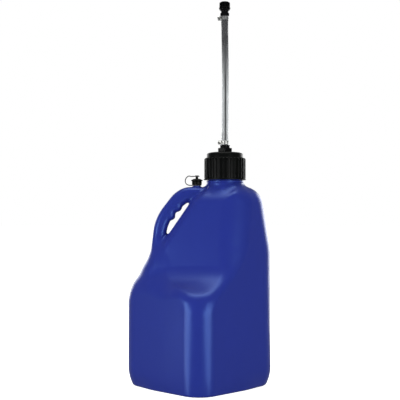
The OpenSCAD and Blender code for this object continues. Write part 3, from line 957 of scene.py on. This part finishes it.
def make_clamp(name, x):
    """Worm clamp: slotted band, a rounded housing and a slotted hexagon screw."""
    band_low, band_high = span(name + "_clamp_band")
    z0, z1 = band_low[2], band_high[2]
    inner = HOSE_R + 0.3
    count, slots, rows = 288, 24, []

    def outside(z_share):
        def radius(angles):
            slot_phase = (angles * slots / (2 * math.pi)) % 1.0
            front = np.cos(angles) > -0.25
            in_slot = (np.abs(slot_phase - 0.5) < 0.17) & (abs(z_share - 0.5) < 0.3) & front
            return inner + 0.8 - np.where(in_slot, 0.45, 0.0)
        return radius

    rows.append((inner, z0 + 0.15))
    rows.append((inner + 0.15, z0))
    rows.append((inner + 0.65, z0))
    for share in (0.02, 0.1, 0.19, 0.21, 0.35, 0.5, 0.65, 0.79, 0.81, 0.9, 0.98):
        rows.append((outside(share), z0 + (z1 - z0) * share))
    rows += [(inner + 0.65, z1), (inner + 0.15, z1), (inner, z1 - 0.15)]
    band = turned(name + "_clamp_strap", rows, count, (x, 0, 0), sharp=25)
    finish_piece(band, "filler_cap", "stainless_steel", STAINLESS, name + "_clamp_band")
    h_low, h_high = span(name + "_clamp_housing")
    shell = rounded_block(name + "_clamp_saddle", (h_low[0], h_low[1] + 0.6, h_low[2]),
                          (x - inner + 1.2, h_high[1] - 0.6, h_high[2]), 2.2, 4)
    finish_piece(shell, "filler_cap", "stainless_steel", STAINLESS, name + "_clamp_housing")
    s_low, s_high = span(name + "_clamp_screw")
    centre = middle(name + "_clamp_screw")
    worm_low, head = s_low[1], 4.5
    rows = [(0.35, 1.1), (0.35, 0.9)] + hex_rows(6.6, 0.0, head, 0.8)[1:-1]
    rows += [(3.9, head), (4.0, head + 0.3), (3.9, head + 0.7), (2.3, head + 0.8)]
    z = head + 1.0
    while z < s_high[1] - worm_low - 1.2:
        rows += [(1.9, z), (2.55, z + 0.35), (2.55, z + 0.6), (1.9, z + 0.95)]
        z += 1.3
    rows += [(1.9, z), (1.2, s_high[1] - worm_low), (0.35, s_high[1] - worm_low)]
    turn = Matrix.Rotation(math.radians(-90), 4, "X")
    screw = turned(name + "_clamp_worm", rows, 48, (centre[0], worm_low, centre[2]), turn, sharp=30)
    cut_slot(screw, centre, worm_low)
    finish_piece(screw, name + "_clamp_screw", "plated_screw", PLATED, name + "_clamp_screw")
    return band, shell, screw


def cut_slot(screw, centre, face_y):
    """Screwdriver slot across the head, cut with a block."""
    low = (centre[0] - 0.5, face_y - 1, centre[2] - 5)
    high = (centre[0] + 0.5, face_y + 1.6, centre[2] + 5)
    cutter = rounded_block("slot_cutter", low, high, 0.05, 1)
    cut = screw.modifiers.new("slot", "BOOLEAN")
    cut.operation = "DIFFERENCE"
    cut.solver = "EXACT"
    cut.object = cutter
    graph = bpy.context.evaluated_depsgraph_get()
    mesh = bpy.data.meshes.new_from_object(screw.evaluated_get(graph))
    screw.modifiers.clear()
    screw.data = mesh
    bpy.data.objects.remove(cutter)


# ---- tip -------------------------------------------------------------------------


def make_tip():
    """Tip fitting: barbs in the hose, a hexagon, a waisted neck, a flared seat and a threaded spigot."""
    base = HOSE_TOP_Z + 0.05
    low, high = tip_low[2], tip_high[2]
    seat = end_low[2] - 1.3
    rows = [(3.6, low + 0.2), (3.9, low)]
    for i in range(4):
        z = low + 7 * i
        rows += [(4.5, z + 0.4), (5.3, z + 3.6), (5.55, z + 4.4), (5.5, z + 6.7)]
    rows += [(8.0, base + 0.1)]
    rows += hex_rows(20, base + 0.1, base + 5.5, 0.9)
    rows += [(8.4, base + 5.6), (8.2, base + 6.4), (8.3, seat - 6.6), (8.8, seat - 4.6), (10.2, seat - 3.2),
             (12.2, seat - 1.4), (12.5, seat - 0.7), (12.3, seat), (6.7, seat)]
    z = seat + 0.6
    while z < high - 2:
        rows += [(6.2, z), (6.5, z + 0.4), (6.5, z + 0.8), (6.2, z + 1.2)]
        z += 1.6
    rows += [(6.2, high - 0.7), (5.6, high), (4.0, high), (3.6, high - 0.3)]
    made = turned("tip_fitting", rows, 120, (TIP_X, 0, 0), sharp=30)
    return finish_piece(made, "filler_cap", "black_fitting_plastic", BLACK_FITTING, "tip_adapter")


def make_end_cap():
    """Ribbed cap over the tip, with a flange at its foot and a domed top."""
    low, high = end_low[2], end_high[2]

    def side(share):
        return ribbed(9.6, 2.6 * share, 14, 0.5)

    rows = [(7.1, low + 0.3), (7.5, low), (12.6, low), (13.2, low + 0.5), (13.2, low + 1.6),
            (12.4, low + 2.3), (11.0, low + 2.5)]
    rows += [(side(1.0), low + 2.9), (side(1.0), low + 6), (side(1.0), high - 5), (side(0.95), high - 2.6),
             (side(0.6), high - 1.5), (9.3, high - 0.7), (8.2, high), (3.0, high), (2.2, high - 0.5),
             (0.3, high - 0.5), (0.3, high - 1.6)]
    rows += [(6.4, high - 2.0), (7.0, high - 2.4)]
    made = turned("end_cap_shell", rows, 14 * 12, (TIP_X, 0, 0), sharp=40)
    return finish_piece(made, "end_cap", "black_cap_plastic", BLACK_CAP, "end_cap")


# ---- vent ------------------------------------------------------------------------


def make_vent_cap():
    """Small ribbed cap with a flange near its top and the post that holds the tether."""
    low, high = vent_low[2], vent_high[2]
    top = high - 8

    def side(share):
        return ribbed(9.9, 1.5 * share, 16, 0.5)

    rows = [(8.0, low + 0.3), (8.4, low), (10.6, low), (side(0.8), low + 0.7), (side(1.0), low + 1.5),
            (side(1.0), top - 6.0), (10.4, top - 5.3), (12.8, top - 4.9), (13.2, top - 4.3),
            (13.2, top - 2.6), (12.5, top - 1.9), (9.4, top - 1.5), (8.8, top - 0.5), (8.0, top),
            (4.3, top), (3.2, top + 0.7), (3.0, top + 4.6), (3.4, top + 5.2), (4.6, high - 1.6),
            (4.7, high - 0.9), (3.8, high - 0.15), (0.3, high), (0.3, high - 2), (3.0, top - 3.0),
            (7.9, top - 3.0)]
    made = turned("vent_cap_shell", rows, 16 * 12, (VENT_X, 0, 0), sharp=40)
    return finish_piece(made, "vent_cap", "black_cap_plastic", BLACK_CAP, "vent_cap")


def make_tether():
    """Strap from a collar round the spigot, out behind the cap and back over its post."""
    low, high = span("vent_tether")
    low_z, high_z = low[2], high[2]
    loop = [(-9.8, 0.9), (-14, 0.9), (-18.5, 1.3), (-23.2, 3.2), (-26.0, 7.6), (-26.2, 13.0),
            (-23.8, 18.2), (-18.6, 22.0), (-13.0, high_z - low_z - 1.2), (-5.4, high_z - low_z - 0.9)]
    path = spline([(VENT_X + x, 0, low_z + z) for x, z in loop], 5)
    section = [(-1.0, -2.5), (-0.6, -2.9), (0.6, -2.9), (1.0, -2.5),
               (1.0, 2.5), (0.6, 2.9), (-0.6, 2.9), (-1.0, 2.5)]
    strap = swept("tether_strap", path, section)
    thick = 1.8
    collar_rows = rounded([(7.6, low_z, 0.3), (10.4, low_z, 0.5),
                           (10.4, low_z + thick, 0.5), (7.6, low_z + thick, 0.3)], 3)
    collar = turned("tether_collar", collar_rows, 64, (VENT_X, 0, 0))
    eye_rows = rounded([(3.6, high_z - thick, 0.3), (6.1, high_z - thick, 0.6),
                        (6.1, high_z, 0.6), (3.6, high_z, 0.3)], 3)
    eye = turned("tether_eye", eye_rows, 48, (VENT_X, 0, 0))
    for made in (strap, collar, eye):
        made.data.materials.append(STRAP_RUBBER)
    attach(collar, "tank")
    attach(eye, "vent_lift")
    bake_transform(strap)
    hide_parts("vent_tether")


# ---- floor, light and sky --------------------------------------------------------


def make_floor():
    """Plain pale floor that runs out to white, and is hidden from reflections."""
    material, tree, shader = new_material("pale_floor", (0.8, 0.8, 0.8), 0.8, Emission_Strength=1.0)
    grain = noise_node(tree, 6.0, detail=3.0)
    pale = mix_colour(tree, grain, (0.78, 0.78, 0.78), (0.82, 0.82, 0.82))
    tree.links.new(pale, shader.inputs["Base Color"])
    eye = tree.nodes.new("ShaderNodeLightPath").outputs["Is Camera Ray"]
    glow = mix_colour(tree, eye, (0.0, 0.0, 0.0), (0.93, 0.93, 0.93))
    tree.links.new(glow, shader.inputs["Emission Color"])
    size, z = 30000.0, -0.05
    corners = [(-size, -size, z), (size, -size, z), (size, size, z), (-size, size, z)]
    floor = new_object("floor", corners, [(0, 1, 2, 3)])
    floor.data.materials.append(material)
    floor.visible_glossy = False


def make_world():
    """White backdrop to the eye, and a dim even sky for everything else."""
    world = bpy.data.worlds.new("studio")
    bpy.context.scene.world = world
    world.use_nodes = True
    tree = world.node_tree
    tree.nodes.clear()
    seen, dim = tree.nodes.new("ShaderNodeBackground"), tree.nodes.new("ShaderNodeBackground")
    seen.inputs["Color"].default_value = (1, 1, 1, 1)
    dim.inputs["Color"].default_value = (0.92, 0.96, 1, 1)
    dim.inputs["Strength"].default_value = 0.27
    path, mix = tree.nodes.new("ShaderNodeLightPath"), tree.nodes.new("ShaderNodeMixShader")
    out = tree.nodes.new("ShaderNodeOutputWorld")
    tree.links.new(path.outputs["Is Camera Ray"], mix.inputs[0])
    tree.links.new(dim.outputs[0], mix.inputs[1])
    tree.links.new(seen.outputs[0], mix.inputs[2])
    tree.links.new(mix.outputs[0], out.inputs["Surface"])


def soft_box(name, azimuth, distance, low, high, width, power, tint=(1, 1, 1)):
    """Upright area light at an azimuth from the camera's side, in degrees and metres, facing the object."""
    data = bpy.data.lights.new(name, "AREA")
    data.shape = "RECTANGLE"
    data.size = width
    data.size_y = high - low
    data.energy = power
    data.color = tint
    lamp = bpy.data.objects.new(name, data)
    bpy.context.scene.collection.objects.link(lamp)
    a = math.radians(azimuth)
    lamp.location = (math.sin(a) * distance, -math.cos(a) * distance, (low + high) / 2)
    lamp.rotation_mode = "QUATERNION"
    lamp.rotation_quaternion = Vector((-math.sin(a), math.cos(a), 0)).to_track_quat("-Z", "Z")
    return lamp


def make_lights():
    soft_box("left_box", -57, 1.35, -0.2, 0.5, 1.1, 15)
    soft_box("right_box", 38, 1.45, -0.2, 0.5, 1.05, 15)
    soft_box("back_left_box", -150, 1.8, 0.1, 1.3, 1.0, 9)
    soft_box("back_right_box", 140, 1.8, 0.1, 1.3, 1.0, 15)
    top = soft_box("top_box", 0, 0.25, 1.4, 2.1, 1.1, 12)
    top.location.z = 1.75
    top.rotation_quaternion = Vector((0, 0.1, -1)).to_track_quat("-Z", "Y")


def main():
    make_camera()
    tip = make_tip()
    end_cap = make_end_cap()
    seal = ring_piece("end_cap_seal_ring", "end_cap_seal", "end_cap_lift", "seal_rubber", SEAL_RUBBER)
    upper_clamp = make_clamp("upper", TIP_X)
    make_hose()
    make_clamp("lower", NECK_X)
    make_dark_line()
    make_tank()
    make_neck()
    make_vent_spigot()
    make_filler_cap()
    ring_piece("cap_gasket_ring", "cap_gasket", "cap_lift", "seal_rubber", SEAL_RUBBER)
    ring_piece("fitting_washer_ring", "fitting_washer", "filler_cap", "seal_rubber", SEAL_RUBBER)
    ring_piece("nut_washer_ring", "nut_washer", "filler_cap", "seal_rubber", SEAL_RUBBER)
    ring_piece("vent_gasket_ring", "vent_gasket", "vent_lift", "seal_rubber", SEAL_RUBBER)
    make_hose_fitting()
    make_bulkhead_nut()
    make_vent_cap()
    make_tether()
    make_floor()
    make_world()
    make_lights()
    bpy.context.scene.view_settings.view_transform = "Standard"


main()
